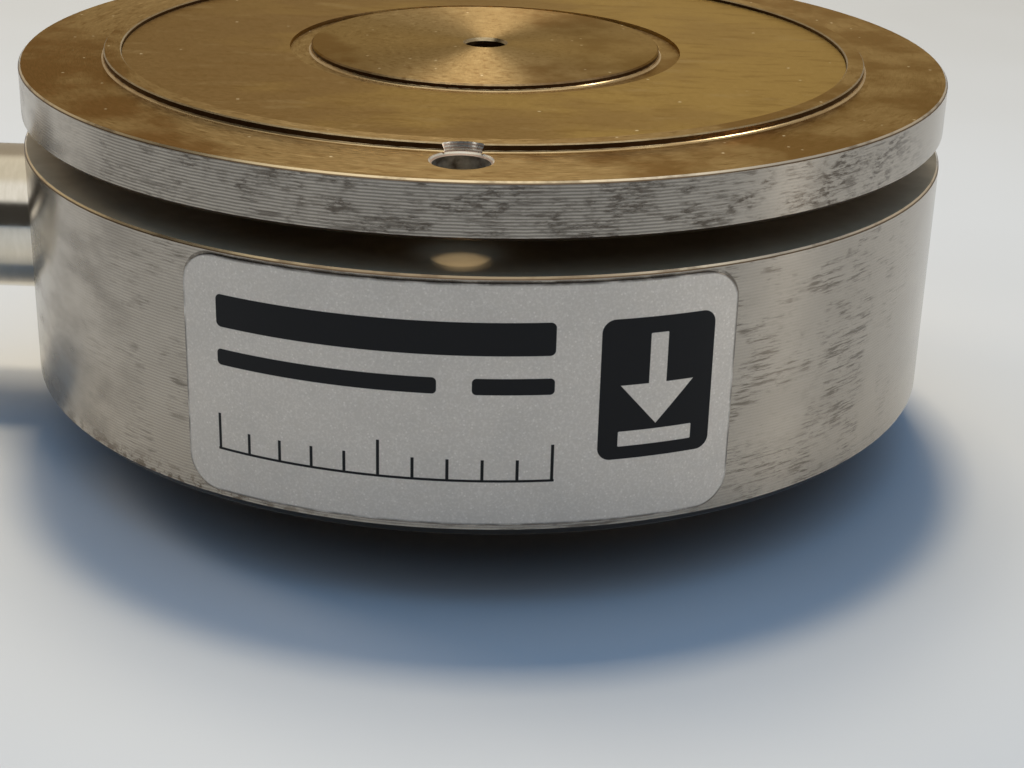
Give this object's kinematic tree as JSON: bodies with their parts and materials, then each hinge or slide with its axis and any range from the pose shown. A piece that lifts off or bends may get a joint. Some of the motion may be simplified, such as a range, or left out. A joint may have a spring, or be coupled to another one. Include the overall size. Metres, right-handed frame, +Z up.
{
  "type": "load cell",
  "caption": "Low-profile round load cell: turned stainless body with a raised load ring on an undercut flange, a sealed gauge chamber under a sheet membrane and a side cable gland.",
  "frame": {"origin": "centre of the foot's lower face, on the axis of the turned body", "axes": "+Z up along the body's axis towards the load ring, +X away from the cable gland, -Y towards the label"},
  "size_m": [0.1156, 0.0942, 0.0398],
  "materials": {
    "body_steel": "turned stainless steel, fine feed marks",
    "membrane_sheet": "rolled stainless sheet, warm heat tint",
    "cover_sheet": "rolled stainless sheet",
    "label_foil": "matt silver foil",
    "gland_steel": "polished stainless steel",
    "seal_rubber": "matt black",
    "gauge_film": "amber film with foil grid",
    "lead_ribbon": "tinned ribbon",
    "board_laminate": "green laminate",
    "resistor_body": "glazed chip",
    "turret_metal": "tinned brass",
    "screw_steel": "bright steel",
    "red_insulation": "smooth",
    "black_insulation": "smooth",
    "green_insulation": "smooth",
    "white_insulation": "smooth"
  },
  "bodies": {
    "root": {"spring_body": "body_steel", "top_membrane": "membrane_sheet", "bottom_cover": "cover_sheet", "inner_gauge_1": "gauge_film", "outer_gauge_1": "gauge_film", "inner_gauge_2": "gauge_film", "outer_gauge_2": "gauge_film", "inner_gauge_3": "gauge_film", "outer_gauge_3": "gauge_film", "inner_gauge_4": "gauge_film", "outer_gauge_4": "gauge_film", "gauge_leads": "lead_ribbon", "terminal_ring": "board_laminate", "red_wire": "red_insulation", "black_wire": "black_insulation", "green_wire": "green_insulation", "white_wire": "white_insulation", "compensation_board": "board_laminate", "board_screws": "screw_steel", "zero_trim_resistor": "resistor_body", "span_trim_resistor": "resistor_body", "zero_drift_resistor": "resistor_body", "span_drift_resistor": "resistor_body", "solder_turrets": "turret_metal", "gland_body": "gland_steel", "gland_o_ring": "seal_rubber", "gland_bush": "seal_rubber", "gland_washer": "gland_steel", "gland_nut": "gland_steel", "label": "label_foil"}
  },
  "joints": []
}
